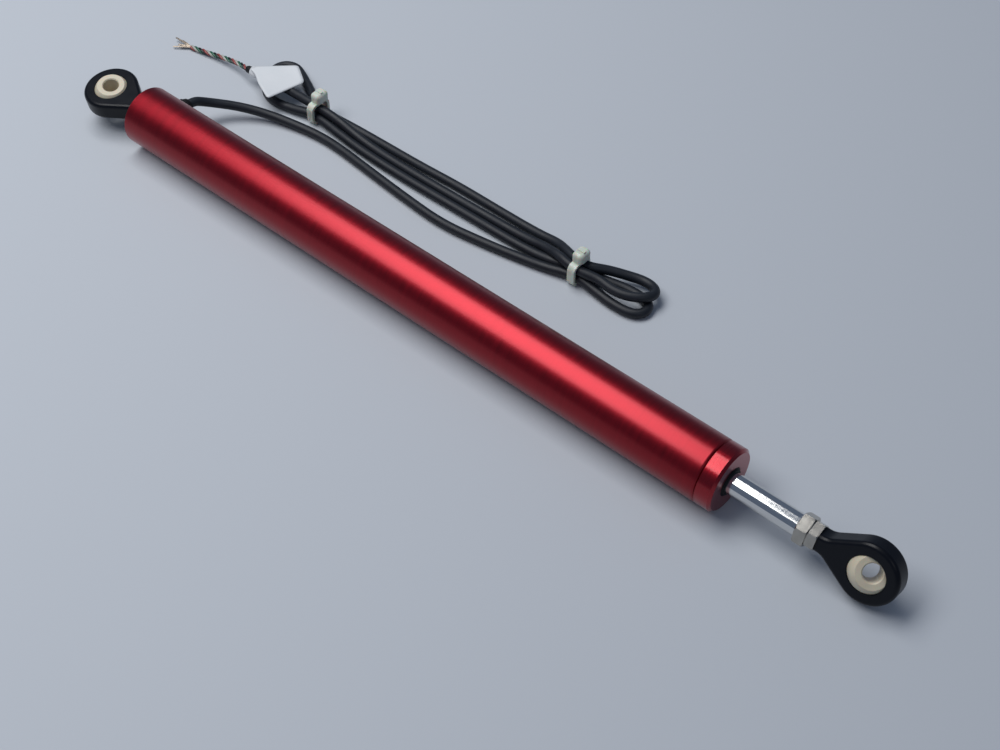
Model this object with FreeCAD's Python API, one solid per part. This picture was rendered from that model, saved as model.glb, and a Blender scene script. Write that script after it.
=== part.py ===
import FreeCAD, Part
import math
import os

V = FreeCAD.Vector

# Linear position sensor: a red anodised tube with a sliding rod, a ball eye at each end,
# and a thin signal cable that is folded into a tied bundle beside it.
# X runs along the tube towards the rod end, Y towards the cable, Z up.
# The origin is under the middle of the overall length, on the surface that the sensor lies on.

# Body
body_diameter = 19.05
body_length = 225.0
tube_wall = 1.5
rear_rim_round = 0.9
cap_length = 5.0
cap_chamfer = 0.8
seam_relief = 0.12
spigot_length = 14.0
spigot_fit = 0.03
seal_section = 1.24
seal_fit = 0.01
cushion_thickness = 1.5
cushion_hole = 8.4

# Rod and its travel
rod_diameter = 6.35
rod_exposed = 21.5
length_beyond_stroke = 125.0
over_travel = 3.0
end_gap = 1.0
running_gap = 0.04
rod_bore = 4.2
rod_lead_in = 0.4
wiper_depth = 1.8
wiper_proud = 0.5
bearing_share = 0.325
wiper_share = 0.253
bearing_land = 1.2
bearing_land_gap = 0.4
guide_length = 9.0
guide_wall_gap = 0.06
guide_play = 0.1
guide_vents = 6
vent_width = 1.6
vent_depth = 0.7
clip_thickness = 0.8
clip_diameter = 8.0
clip_groove_depth = 0.35
clip_opening = 2.4
clip_margin = 1.0

# Ball eyes
head_diameter = 17.6
head_thickness = 6.0
head_shoulder_round = 1.2
neck_width = 5.2
neck_straight = 2.05
neck_blend = 5.0
eye_reach = 17.45
ball_diameter = 11.8
ball_width = 8.0
ball_bore = 5.0
ball_bore_chamfer = 0.3
seat_gap = 0.08
seat_chamfer = 0.25
stud_thread = 5.0
stud_length = 10.0
rear_stud_length = 8.0
stud_hole_spare = 0.8
stud_tip_chamfer = 0.6
stud_root_diameter = 3.6
stud_root_length = 3.6
stud_root_ribs = 3
collar_flats = 7.0
collar_length = 2.8
nut_flats = 8.0
nut_thickness = 3.2
nut_turn = 17.6
hex_chamfer = 0.35
tapped_depth = 12.0
front_eye_roll = 70.0
front_ball_tilt = 35.0
front_ball_heading = 52.0
rear_eye_roll = 7.5
rear_ball_tilt = 8.0
rear_ball_heading = 180.0

# Rear plug and cable outlet
plug_length = 12.0
plug_recess = 0.65
outlet_from_rear = 6.0
grommet_hole = 4.4
grommet_fit = 0.05
grommet_collar = 5.6
grommet_collar_height = 1.2
grommet_height = 2.4
grommet_tip = 4.2
outlet_straight = 3.6
lead_diameter = 2.2
lead_bend = 3.0
lead_offset = 4.6
lead_channel = 3.0
lead_pocket_depth = 4.5
plug_seal_from_end = 2.1

# Electronics and sensing probe
mount_length = 8.0
mount_fit = 0.05
board_wall_gap = 1.15
board_thickness = 1.2
board_drop = 2.0
board_side_gap = 0.1
board_slot_depth = 1.2
former_diameter = 2.4
coil_diameter = 3.3
coil_end_margin = 2.0
probe_overlap = 5.0
probe_tip_diameter = 3.5
probe_tip_length = 1.6
probe_tip_gap = 2.0
terminal_size = (6.0, 5.0, 4.4)
chip_size = (6.0, 5.0, 1.5)
chip_count = 3
capacitor_diameter = 2.4
capacitor_height = 3.4
capacitor_count = 4
capacitor_from_edge = 0.4

# Cable
cable_diameter = 3.0
floor_gap = 0.05
tie_width = 2.5
tie_thickness = 0.9
tie_gap = 0.05
tie_corner = 1.2
tie_head = (3.9, 5.2, 3.1)
tie_head_round = 1.3
tie_stub = 0.25
bundle_width = 6.0
sleeve_diameter = 2.6
sleeve_length = 2.0
tag_thickness = 0.3
tag_lift = 0.1
tag_wrap_length = 3.6
wire_diameter = 0.72
wire_gap = 0.03
conductor_diameter = 0.45
rear_tie_from_outlet = 28.5
front_tie_from_outlet = 138.2

# Sizes that follow from those above
body_radius = body_diameter / 2
bore_radius = body_radius - tube_wall
axis_height = body_radius
head_radius = head_diameter / 2
ball_radius = ball_diameter / 2
seat_radius = ball_radius + seat_gap
rod_radius = rod_diameter / 2
stroke = body_length - length_beyond_stroke
bearing_radius = rod_radius + bearing_share * (bore_radius - rod_radius)
wiper_radius = rod_radius + wiper_share * (bore_radius - rod_radius)
board_underside = board_drop + board_thickness
board_width = 2 * (math.sqrt(bore_radius ** 2 - board_underside ** 2) - board_wall_gap)
cable_radius = cable_diameter / 2
rear_reach = eye_reach - plug_recess
neck_reach = eye_reach - collar_length
flank_reach = neck_reach - neck_straight
overall_length = (2 * head_radius + rear_reach + body_length + rod_exposed
                  + nut_thickness + eye_reach)

# Stations along the axis
rear_eye_x = -overall_length / 2 + head_radius
rear_x = rear_eye_x + rear_reach
front_x = rear_x + body_length
nut_x = front_x + rod_exposed
collar_x = nut_x + nut_thickness
front_eye_x = collar_x + eye_reach
seam_x = front_x - cap_length
spigot_x = seam_x - spigot_length
cushion_x = spigot_x - cushion_thickness
guide_pack = clip_margin + 2 * clip_thickness + 2 * guide_play + guide_length
rod_inner_x = cushion_x - end_gap - over_travel - stroke - guide_pack
guide_x = rod_inner_x + clip_margin + clip_thickness + guide_play
mount_front_x = rod_inner_x - over_travel - end_gap
mount_x = mount_front_x - mount_length
plug_x = rear_x + plug_recess
plug_inner_x = rear_x + plug_length
outlet_x = rear_x + outlet_from_rear
probe_tip_x = rod_inner_x + stroke + over_travel + probe_overlap

tilt_limit = 36.0


def round_bar(radius, start, end):
    """A solid bar on the sensor's axis, between two stations."""
    return Part.makeCylinder(radius, end - start, V(start, 0, axis_height), V(1, 0, 0))


def ring_bar(outer, inner, start, end):
    """A tube on the sensor's axis, between two stations."""
    return round_bar(outer, start, end).cut(round_bar(inner, start - 1, end + 1))


def cone_bar(radius_start, radius_end, start, end):
    """A taper on the sensor's axis."""
    return Part.makeCone(radius_start, radius_end, end - start,
                         V(start, 0, axis_height), V(1, 0, 0))


def turned(profile):
    """A solid of revolution on the sensor's axis, from points of station and radius."""
    points = [V(x, 0, axis_height + r) for x, r in profile]
    face = Part.Face(Part.makePolygon(points + points[:1]))
    return face.revolve(V(0, 0, axis_height), V(1, 0, 0), 360)


def block(low, high):
    """A rectangular block between two corners."""
    size = high.sub(low)
    return Part.makeBox(size.x, size.y, size.z, low)


def seal_ring(x):
    """A round-section sealing ring that bears on the tube's bore."""
    section = seal_section / 2
    centre_radius = bore_radius - seal_fit - section
    return Part.makeTorus(centre_radius, section, V(x, 0, axis_height), V(1, 0, 0))


def seal_groove(x):
    """The groove that a sealing ring lies in."""
    half = seal_section / 2 + 0.15
    bottom = bore_radius - 2 * seal_fit - seal_section
    return ring_bar(body_radius, bottom, x - half, x + half)


def hexagon(flats, length, turn):
    """A hexagonal bar along X with both ends chamfered, one corner at the given angle from +Y."""
    corner = flats / math.sqrt(3)
    angles = [math.radians(turn + 60 * k) for k in range(6)]
    points = [V(0, corner * math.cos(a), corner * math.sin(a)) for a in angles]
    bar = Part.Face(Part.makePolygon(points + points[:1])).extrude(V(length, 0, 0))
    inside = corner - hex_chamfer
    lens = Part.makeCone(inside, corner, hex_chamfer, V(0, 0, 0), V(1, 0, 0))
    lens = lens.fuse(Part.makeCylinder(corner, length - 2 * hex_chamfer,
                                       V(hex_chamfer, 0, 0), V(1, 0, 0)))
    lens = lens.fuse(Part.makeCone(corner, inside, hex_chamfer,
                                   V(length - hex_chamfer, 0, 0), V(1, 0, 0)))
    return bar.common(lens)


def rounded_outline(corners):
    """A closed flat wire through corners of x, y and corner radius."""
    count = len(corners)
    points = [V(x, y, 0) for x, y, radius in corners]
    starts, ends, arcs = [], [], []
    for k in range(count):
        here = points[k]
        back = points[k - 1].sub(here)
        ahead = points[(k + 1) % count].sub(here)
        turn = math.pi - back.getAngle(ahead)
        reach = corners[k][2] * math.tan(turn / 2)
        back.normalize()
        ahead.normalize()
        first = here.add(back.multiply(reach))
        last = here.add(ahead.multiply(reach))
        bisector = first.add(last).multiply(0.5).sub(here)
        to_arc = corners[k][2] * (1 / math.cos(turn / 2) - 1)
        bisector.normalize()
        middle = here.add(bisector.multiply(to_arc))
        starts.append(first)
        ends.append(last)
        arcs.append(Part.Arc(first, middle, last).toShape())
    edges = []
    for k in range(count):
        edges.append(arcs[k])
        edges.append(Part.LineSegment(ends[k], starts[(k + 1) % count]).toShape())
    return Part.Wire(edges)


def flat_piece(corners, bottom, top):
    """A flat piece with rounded corners, between two heights."""
    wire = rounded_outline(corners)
    wire.translate(V(0, 0, bottom))
    return Part.Face(wire).extrude(V(0, 0, top - bottom))


def tube_along(points, diameter, label):
    """A round cord along straight runs that are joined by tangent arcs."""
    edges = []
    start = points[0]
    radii = []
    for k in range(1, len(points) - 1):
        here = points[k]
        back = points[k - 1].sub(here)
        ahead = points[k + 1].sub(here)
        turn = math.pi - back.getAngle(ahead)
        reach = 0.45 * min(back.Length, ahead.Length)
        radius = reach / math.tan(turn / 2)
        radii.append(radius)
        back.normalize()
        ahead.normalize()
        first = here.add(V(back).multiply(reach))
        last = here.add(V(ahead).multiply(reach))
        inward = back.add(ahead)
        inward.normalize()
        middle = here.add(inward.multiply(radius * (1 / math.cos(turn / 2) - 1)))
        edges.append(Part.LineSegment(start, first).toShape())
        edges.append(Part.Arc(first, middle, last).toShape())
        start = last
    edges.append(Part.LineSegment(start, points[-1]).toShape())
    path = Part.Wire(edges)
    ring = Part.Wire(Part.makeCircle(diameter / 2, points[0], points[1].sub(points[0])))
    tube = path.makePipeShell([ring], True, False)
    expected = math.pi * diameter ** 2 / 4 * path.Length
    print(label, "length", round(path.Length, 1), "volume against section times length",
          round(tube.Volume / expected, 4), "radii", [round(r, 1) for r in radii])
    return tube


def beside_tube(points):
    """Places points that are given from the cable's outlet, the tube's side and the surface."""
    return [V(outlet_x + x, body_radius + y, z) for x, y, z in points]


def save(name, shape):
    """Writes one piece."""
    solids = shape.Solids
    piece = solids[0] if len(solids) == 1 else Part.makeCompound(solids)
    for solid in solids:
        if not solid.isValid():
            print("not valid", name)
    piece.exportStep("parts/" + name + ".step")


# Body tube, open at both ends, with the outlet hole in its far side

def body_tube():
    tube = round_bar(body_radius, rear_x, seam_x)
    rear_edge = [e for e in tube.Edges if e.Curve.TypeId == "Part::GeomCircle"
                 and abs(e.CenterOfMass.x - rear_x) < 0.01]
    tube = tube.makeFillet(rear_rim_round, rear_edge)
    front_edge = [e for e in tube.Edges if e.Curve.TypeId == "Part::GeomCircle"
                  and abs(e.CenterOfMass.x - seam_x) < 0.01]
    tube = tube.makeChamfer(seam_relief, front_edge)
    tube = tube.cut(round_bar(bore_radius, rear_x - 1, seam_x + 1))
    return tube.cut(outlet_bar(grommet_hole / 2, 0))


def outlet_bar(radius, inner):
    """A bar on the outlet's own axis, from a distance off the sensor's axis outwards."""
    return Part.makeCylinder(radius, body_radius + 5 - inner,
                             V(outlet_x, inner, axis_height), V(0, 1, 0))


# Front cap: a collar with a spigot that holds the bearing and the wiper

def front_cap():
    cap = round_bar(body_radius, seam_x, front_x)
    rims = [e for e in cap.Edges if e.Curve.TypeId == "Part::GeomCircle"]
    front_rim = [e for e in rims if abs(e.CenterOfMass.x - front_x) < 0.01]
    cap = cap.makeChamfer(cap_chamfer, front_rim)
    rims = [e for e in cap.Edges if e.Curve.TypeId == "Part::GeomCircle"]
    seam_rim = [e for e in rims if abs(e.CenterOfMass.x - seam_x) < 0.01]
    cap = cap.makeChamfer(seam_relief, seam_rim)
    cap = cap.fuse(round_bar(bore_radius - spigot_fit, spigot_x, seam_x))
    cap = cap.cut(seal_groove(front_seal_x()))
    cap = cap.cut(round_bar(wiper_radius, front_x - wiper_depth, front_x + 1))
    cap = cap.cut(round_bar(rod_radius + bearing_land_gap, spigot_x - 1, front_x + 1))
    return cap.cut(round_bar(bearing_radius, spigot_x - 1, bearing_front_x()))


def front_seal_x():
    return (seam_x + spigot_x) / 2


def bearing_front_x():
    return front_x - wiper_depth - bearing_land


def rod_bearing():
    return ring_bar(bearing_radius, rod_radius + running_gap, spigot_x, bearing_front_x())


def rod_wiper():
    inner = rod_radius + running_gap
    outer = wiper_radius
    back = front_x - wiper_depth
    lip = front_x + wiper_proud
    middle = (inner + outer) / 2
    return turned([(back, inner), (back, outer), (front_x - 0.2, outer),
                   (front_x, outer - 0.2), (lip, middle), (lip, inner)])


def end_cushion():
    ring = ring_bar(bore_radius - 2 * spigot_fit, cushion_hole / 2, cushion_x, spigot_x)
    return ring.makeFillet(0.3, [e for e in ring.Edges if e.Curve.TypeId == "Part::GeomCircle"
                                 and abs(e.CenterOfMass.x - cushion_x) < 0.01])


# Rear plug: closes the tube, takes the rear stud, the cable's lead and the board's end

def rear_plug():
    plug = round_bar(bore_radius - spigot_fit, plug_x, plug_inner_x)
    plug = plug.cut(round_bar(stud_thread / 2, plug_x - 1,
                              plug_x + rear_stud_length + stud_hole_spare))
    plug = plug.cut(outlet_bar(grommet_hole / 2, bore_radius - lead_pocket_depth))
    channel = Part.makeCylinder(lead_channel / 2, plug_length,
                                V(outlet_x, lead_offset, axis_height), V(1, 0, 0))
    plug = plug.cut(channel)
    plug = plug.cut(seal_groove(rear_seal_x()))
    return plug.cut(board_slot(plug_inner_x - board_slot_depth, plug_inner_x + 1))


def rear_seal_x():
    return plug_inner_x - plug_seal_from_end


def board_slot(start, end):
    """The slot that one end of the board is pushed into."""
    top = axis_height - board_drop
    half = board_width / 2 + board_side_gap
    return block(V(start, -half, top - board_thickness), V(end, half, top))


# Ball eyes: a moulded head with a spherical seat, a steel stud in its neck, and a ball

def eye_outline():
    """The head's outline about the ball's centre, with its neck towards -X."""
    half = neck_width / 2
    reach = math.hypot(flank_reach, half)
    tangent = math.atan2(half, -flank_reach) - math.acos(head_radius / reach)
    shoulder = V(head_radius * math.cos(tangent), head_radius * math.sin(tangent), 0)
    corner = V(-flank_reach, half, 0)
    along_flank = shoulder.sub(corner)
    along_flank.normalize()
    turn = math.atan2(along_flank.y, along_flank.x)
    blend = min(neck_blend * math.tan(turn / 2), 0.9 * neck_straight)
    inward = along_flank.add(V(-1, 0, 0))
    inward.normalize()
    depth = blend / math.tan(turn / 2) * (1 / math.cos(turn / 2) - 1)
    upper = [V(-neck_reach, half, 0), corner.add(V(-blend, 0, 0)),
             corner.add(inward.multiply(depth)), corner.add(along_flank.multiply(blend)), shoulder]
    lower = [V(point.x, -point.y, 0) for point in upper]
    edges = [Part.LineSegment(lower[0], upper[0]).toShape()]
    for side in (upper, lower):
        edges.append(Part.LineSegment(side[0], side[1]).toShape())
        edges.append(Part.Arc(side[1], side[2], side[3]).toShape())
        edges.append(Part.LineSegment(side[3], side[4]).toShape())
    edges.append(Part.Arc(shoulder, V(head_radius, 0, 0), lower[4]).toShape())
    return Part.Wire(Part.__sortEdges__(edges))


def eye_head():
    """One moulded head about the ball's centre, its flat faces square to Z."""
    wire = eye_outline()
    wire.translate(V(0, 0, -head_thickness / 2))
    head = Part.Face(wire).extrude(V(0, 0, head_thickness))
    neck_end = -neck_reach
    soft_edges = []
    for edge in head.Edges:
        middle = edge.CenterOfMass
        if abs(abs(middle.z) - head_thickness / 2) < 0.01 and middle.x > neck_end + 0.01:
            soft_edges.append(edge)
    head = head.makeFillet(head_shoulder_round, soft_edges)
    head = head.cut(Part.makeSphere(seat_radius))
    mouth = math.sqrt(seat_radius ** 2 - (head_thickness / 2) ** 2)
    for side in (1, -1):
        flare = Part.makeCone(mouth - 0.02, mouth + seat_chamfer, seat_chamfer,
                              V(0, 0, side * (head_thickness / 2 - seat_chamfer)), V(0, 0, side))
        head = head.cut(flare)
    root = Part.makeCylinder(stud_root_diameter / 2, stud_root_length, V(neck_end, 0, 0), V(1, 0, 0))
    return head.cut(root)


def eye_stud(thread_length):
    """The steel stud of an eye: a ribbed root in the neck, a hexagonal collar and a thread."""
    neck_end = -neck_reach
    collar = hexagon(collar_flats, collar_length, 0)
    collar.translate(V(-eye_reach, 0, 0))
    root = Part.makeCylinder(stud_root_diameter / 2, stud_root_length, V(neck_end, 0, 0), V(1, 0, 0))
    pitch = stud_root_length / (stud_root_ribs + 1)
    for k in range(stud_root_ribs):
        groove_x = neck_end + pitch * (k + 1)
        groove = Part.makeCylinder(stud_root_diameter, 0.3, V(groove_x, 0, 0), V(1, 0, 0))
        core = Part.makeCylinder(stud_root_diameter / 2 - 0.25, 0.3, V(groove_x, 0, 0), V(1, 0, 0))
        root = root.cut(groove.cut(core))
    radius = stud_thread / 2
    thread_start = -eye_reach - thread_length
    thread = Part.makeCylinder(radius, thread_length - stud_tip_chamfer,
                               V(thread_start + stud_tip_chamfer, 0, 0), V(1, 0, 0))
    tip = Part.makeCone(radius - stud_tip_chamfer, radius, stud_tip_chamfer,
                        V(thread_start, 0, 0), V(1, 0, 0))
    return collar.fuse(root).fuse(thread).fuse(tip)


def eye_ball():
    """A truncated ball with its bore along Z."""
    half = ball_width / 2
    ball = Part.makeSphere(ball_radius)
    slab = Part.makeCylinder(ball_radius + 1, ball_width, V(0, 0, -half))
    ball = ball.common(slab)
    radius = ball_bore / 2
    ball = ball.cut(Part.makeCylinder(radius, ball_width + 2, V(0, 0, -half - 1)))
    for side in (1, -1):
        mouth = Part.makeCone(radius, radius + ball_bore_chamfer, ball_bore_chamfer,
                              V(0, 0, side * (half - ball_bore_chamfer)), V(0, 0, side))
        ball = ball.cut(mouth)
    return ball


def place_eye(shape, x, roll, facing):
    """Turns an eye about the sensor's axis and carries it to its station."""
    placed = shape.copy()
    if facing < 0:
        placed.rotate(V(0, 0, 0), V(0, 0, 1), 180)
    placed.rotate(V(0, 0, 0), V(1, 0, 0), roll)
    placed.translate(V(x, 0, axis_height))
    return placed


def tilted(ball, tilt, heading):
    """Leans a ball in its seat towards a heading in the plane of its head."""
    angle = math.radians(heading)
    leaning = ball.copy()
    leaning.rotate(V(0, 0, 0), V(-math.sin(angle), math.cos(angle), 0), tilt)
    return leaning


# Rod: a hollow bar that slides over the probe, tapped at its outer end

def rod():
    bar = round_bar(rod_radius, rod_inner_x, nut_x)
    ends = [e for e in bar.Edges if e.Curve.TypeId == "Part::GeomCircle"]
    bar = bar.makeChamfer(0.3, ends)
    bore_end = probe_tip_x + over_travel + probe_tip_gap
    bar = bar.cut(round_bar(rod_bore / 2, rod_inner_x - 1, bore_end))
    lead_in = cone_bar(rod_bore / 2 + rod_lead_in, rod_bore / 2, rod_inner_x,
                       rod_inner_x + rod_lead_in)
    bar = bar.cut(lead_in)
    bar = bar.cut(round_bar(stud_thread / 2, nut_x - tapped_depth, nut_x + 1))
    for x in clip_stations():
        bar = bar.cut(ring_bar(rod_radius + 1, rod_radius - clip_groove_depth, x, x + clip_thickness))
    return bar


def clip_stations():
    """Where the clips on each side of the guide start."""
    return (rod_inner_x + clip_margin, guide_x + guide_length + guide_play)


def guide_clips():
    """Two spring clips in the rod's grooves."""
    clips = []
    for x in clip_stations():
        ring = ring_bar(clip_diameter / 2, rod_radius - clip_groove_depth, x, x + clip_thickness)
        gap = block(V(x - 1, -clip_opening / 2, axis_height),
                    V(x + clip_thickness + 1, clip_opening / 2, axis_height + clip_diameter))
        clips.append(ring.cut(gap))
    return Part.makeCompound(clips)


def rod_guide():
    """A plastic bush that runs in the tube's bore, with vents for the air."""
    outer = bore_radius - guide_wall_gap
    bush = ring_bar(outer, rod_radius + running_gap, guide_x, guide_x + guide_length)
    ends = [e for e in bush.Edges if e.Curve.TypeId == "Part::GeomCircle"
            and abs(e.Curve.Radius - outer) < 0.01]
    bush = bush.makeChamfer(0.4, ends)
    for k in range(guide_vents):
        vent = block(V(guide_x - 1, -vent_width / 2, axis_height + outer - vent_depth),
                     V(guide_x + guide_length + 1, vent_width / 2, axis_height + outer + 1))
        vent.rotate(V(0, 0, axis_height), V(1, 0, 0), 360 * (k + 0.5) / guide_vents)
        bush = bush.cut(vent)
    return bush


def jam_nut():
    nut = hexagon(nut_flats, nut_thickness, nut_turn)
    nut = nut.cut(Part.makeCylinder(stud_thread / 2, nut_thickness + 2, V(-1, 0, 0), V(1, 0, 0)))
    nut.translate(V(nut_x, 0, axis_height))
    return nut


# Electronics and probe

def coil_mount():
    disc = round_bar(bore_radius - mount_fit, mount_x, mount_front_x)
    disc = disc.cut(board_slot(mount_x - 1, mount_x + board_slot_depth))
    return disc.cut(round_bar(former_diameter / 2, mount_x - 1, mount_front_x + 1))


def probe_former():
    return round_bar(former_diameter / 2, mount_x, probe_tip_x)


def sensing_coil():
    return ring_bar(coil_diameter / 2, former_diameter / 2, mount_front_x + coil_end_margin,
                    probe_tip_x - probe_tip_length - coil_end_margin)


def probe_tip():
    radius = probe_tip_diameter / 2
    bead = ring_bar(radius, former_diameter / 2, probe_tip_x - probe_tip_length, probe_tip_x)
    return bead.makeChamfer(0.3, [e for e in bead.Edges if e.Curve.TypeId == "Part::GeomCircle"
                                  and abs(e.Curve.Radius - radius) < 0.01])


def board_span():
    """The board's two ends along the axis."""
    return plug_inner_x - board_slot_depth, mount_x + board_slot_depth


def circuit_board():
    start, end = board_span()
    top = axis_height - board_drop
    half = board_width / 2
    return block(V(start, -half, top - board_thickness), V(end, half, top))


def on_board(x, y, size):
    """A block that stands on the board, centred on a place."""
    top = axis_height - board_drop
    return block(V(x - size[0] / 2, y - size[1] / 2, top),
                 V(x + size[0] / 2, y + size[1] / 2, top + size[2]))


def lead_terminal():
    return on_board(terminal_x(), lead_offset - 1.2, terminal_size)


def terminal_x():
    return plug_inner_x + 5 + terminal_size[0] / 2


def signal_chips():
    start, end = board_span()
    first = terminal_x() + terminal_size[0]
    pitch = (end - first) / (chip_count + 1)
    return Part.makeCompound([on_board(first + pitch * (k + 1), -2.2, chip_size)
                              for k in range(chip_count)])


def board_capacitors():
    start, end = board_span()
    first = terminal_x() + terminal_size[0]
    pitch = (end - first) / (capacitor_count + 1)
    top = axis_height - board_drop
    cans = []
    row = board_width / 2 - capacitor_diameter - capacitor_from_edge
    for k in range(capacitor_count):
        cans.append(Part.makeCylinder(capacitor_diameter / 2, capacitor_height,
                                      V(first + pitch * (k + 0.8), row, top)))
    return Part.makeCompound(cans)


def inner_lead():
    """The cable's own end inside the grommet, then its core through the plug to the terminal."""
    sheath_start = bore_radius
    sheath = Part.makeCylinder(cable_radius, outlet_face() - sheath_start,
                               V(outlet_x, sheath_start, axis_height), V(0, 1, 0))
    corner = V(outlet_x, lead_offset, axis_height)
    start = V(outlet_x, sheath_start, axis_height)
    first = corner.add(V(0, lead_bend, 0))
    last = corner.add(V(lead_bend, 0, 0))
    middle = corner.add(V(lead_bend, lead_bend, 0)).add(
        V(-lead_bend, -lead_bend, 0).multiply(math.sqrt(0.5)))
    finish = V(terminal_x() - terminal_size[0] / 2, lead_offset, axis_height)
    edges = [Part.LineSegment(start, first).toShape(),
             Part.Arc(first, middle, last).toShape(),
             Part.LineSegment(last, finish).toShape()]
    ring = Part.Wire(Part.makeCircle(lead_diameter / 2, start, V(0, -1, 0)))
    core = Part.Wire(edges).makePipeShell([ring], True, False)
    return sheath.fuse(core)


# Cable outlet

def outlet_face():
    return body_radius + grommet_height


def cable_grommet():
    """A rubber grommet: a stem in the tube's wall, a collar on it and a tapered nose."""
    base = bore_radius
    stem = Part.makeCylinder(grommet_hole / 2 - grommet_fit, tube_wall,
                             V(outlet_x, base, axis_height), V(0, 1, 0))
    collar_top = body_radius + grommet_collar_height
    collar = Part.makeCylinder(grommet_collar / 2, collar_top - base,
                               V(outlet_x, base, axis_height), V(0, 1, 0))
    collar = collar.makeFillet(0.4, [e for e in collar.Edges
                                     if abs(e.CenterOfMass.y - collar_top) < 0.01])
    nose = Part.makeCone(grommet_tip / 2 + 0.4, grommet_tip / 2, outlet_face() - collar_top,
                         V(outlet_x, collar_top, axis_height), V(0, 1, 0))
    collar = collar.fuse(nose)
    collar = collar.cut(round_bar(body_radius, rear_x, seam_x))
    bore = Part.makeCylinder(cable_radius, body_radius, V(outlet_x, base - 1, axis_height), V(0, 1, 0))
    return collar.fuse(stem).cut(bore)


# Cable: a free stretch from the grommet to the front tie, then two and a half folded turns

def cable_route():
    """The free stretch, from the grommet's nose over to the surface and along the bundle."""
    start = V(outlet_x, outlet_face(), axis_height)
    return [start, start.add(V(0, outlet_straight, 0))] + beside_tube([
        (1.6, 9.3, 8.6),
        (5.0, 12.5, 7.2),
        (10.6, 16.2, 5.4),
        (17.8, 20.7, 3.7),
        (26.0, 24.5, 2.4),
        (36.0, 26.4, 1.75),
        (52.0, 24.4, 1.55),
        (71.0, 21.4, 1.6),
        (90.5, 20.1, 1.55),
        (108.0, 22.5, 1.6),
        (121.0, 25.2, 1.55),
        (129.6, 27.2, 1.6),
    ])


def tie_places():
    """Each tie's station, the near side of the bundle there and the bundle's height."""
    return ((outlet_x + rear_tie_from_outlet, body_radius + 28.9, 5.7),
            (outlet_x + front_tie_from_outlet, body_radius + 26.5, 6.0))


def cable_hank():
    """The outer shape of the folded turns: one loop at the rear, two at the front."""
    outline = [(-3.4, 46.1, 9.0), (-2.6, 29.5, 6.0), (10.4, 23.5, 7.0), (21.0, 27.9, 4.0),
               (25.6, 28.9, 3.0), (32.4, 28.9, 3.0), (47.0, 27.5, 9.0), (107.0, 26.7, 60.0),
               (125.5, 28.0, 4.0), (132.0, 26.5, 4.0), (141.5, 26.5, 3.0), (153.0, 24.9, 12.0),
               (164.4, 24.9, 6.0), (166.6, 34.5, 5.0), (159.0, 39.7, 5.0), (147.0, 36.9, 9.0),
               (141.5, 32.5, 3.0), (135.0, 32.5, 3.0), (129.0, 37.9, 6.0), (107.0, 37.4, 60.0),
               (47.0, 37.4, 9.0), (32.4, 34.9, 3.0), (25.6, 34.9, 3.0), (19.0, 41.1, 6.0),
               (11.0, 46.1, 9.0)]
    placed = [(outlet_x + x, body_radius + y, r) for x, y, r in outline]
    plan = flat_piece(placed, 0, 10)
    one_layer = cable_diameter + 2 * floor_gap
    rear_tie, front_tie = tie_places()
    rear_top = tie_thickness + tie_gap + rear_tie[2]
    front_top = tie_thickness + tie_gap + front_tie[2]
    loops_top = 2 * cable_diameter + 3 * floor_gap
    steps = [(-11, floor_gap), (174, floor_gap), (174, loops_top), (147, loops_top),
             (142, front_top), (135, front_top), (121, one_layer), (43, one_layer),
             (33, rear_top), (23, rear_top), (23, one_layer), (-11, one_layer)]
    points = [V(outlet_x + x, 0, z) for x, z in steps]
    side = Part.Face(Part.makePolygon(points + points[:1])).extrude(V(0, 8 * body_radius, 0))
    hank = plan.common(side)
    for x, near, height in tie_places():
        width = tie_width + 2 * tie_gap
        hank = hank.cut(block(V(x - width / 2, 0, -1), V(x + width / 2, 8 * body_radius, 20)))
        low = tie_thickness + tie_gap
        waist = (near, near + bundle_width, low, low + height)
        hank = hank.fuse(tie_section(waist, tie_corner, x, width))
    return hank


def cable_tie(place):
    """A strap round the bundle with its locking head on top and its trimmed end standing out."""
    x, near, height = place
    low = tie_thickness + tie_gap
    inner = (near - tie_gap, near + bundle_width + tie_gap, low - tie_gap,
             low + height + tie_gap)
    outer = (inner[0] - tie_thickness, inner[1] + tie_thickness, 0.0, inner[3] + tie_thickness)
    strap = tie_section(outer, tie_corner + tie_thickness, x, tie_width)
    strap = strap.cut(tie_section(inner, tie_corner, x, tie_width + 2))
    head_y = near + bundle_width * 0.68
    head = block(V(x - tie_head[0] / 2, head_y - tie_head[1] / 2, outer[3]),
                 V(x + tie_head[0] / 2, head_y + tie_head[1] / 2, outer[3] + tie_head[2]))
    top_edges = [e for e in head.Edges if e.CenterOfMass.z > outer[3] + 0.1]
    head = head.makeFillet(tie_head_round, top_edges)
    end = block(V(x - tie_width / 2, head_y - tie_thickness / 2, outer[3] + tie_head[2] - 0.5),
                V(x + tie_width / 2, head_y + tie_thickness / 2, outer[3] + tie_head[2] + tie_stub))
    return strap.fuse(head).fuse(end)


def tie_section(box, corner, x, width):
    """A bar along X with a rounded rectangular section."""
    low_y, high_y, low_z, high_z = box
    bar = block(V(x - width / 2, low_y, low_z), V(x + width / 2, high_y, high_z))
    long_edges = [e for e in bar.Edges if abs(e.tangentAt(e.FirstParameter).x) > 0.9]
    return bar.makeFillet(corner, long_edges)


# Far end of the cable: its last stretch, a sleeve, a flag label and four wires

def wrap_radius():
    return cable_radius + tag_lift + tag_thickness


def tail_height():
    """The tail lies on the loop below it, with the label's wrap between them."""
    return cable_diameter + 3 * floor_gap + wrap_radius()


def tail_route():
    z = tail_height()
    return beside_tube([(23.0, 32.3, z), (14.5, 32.3, z), (6.0, 32.0, z),
                         (-2.6, 31.4, z)])


def cable_tail():
    return tube_along(tail_route(), cable_diameter, "cable tail")


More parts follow.
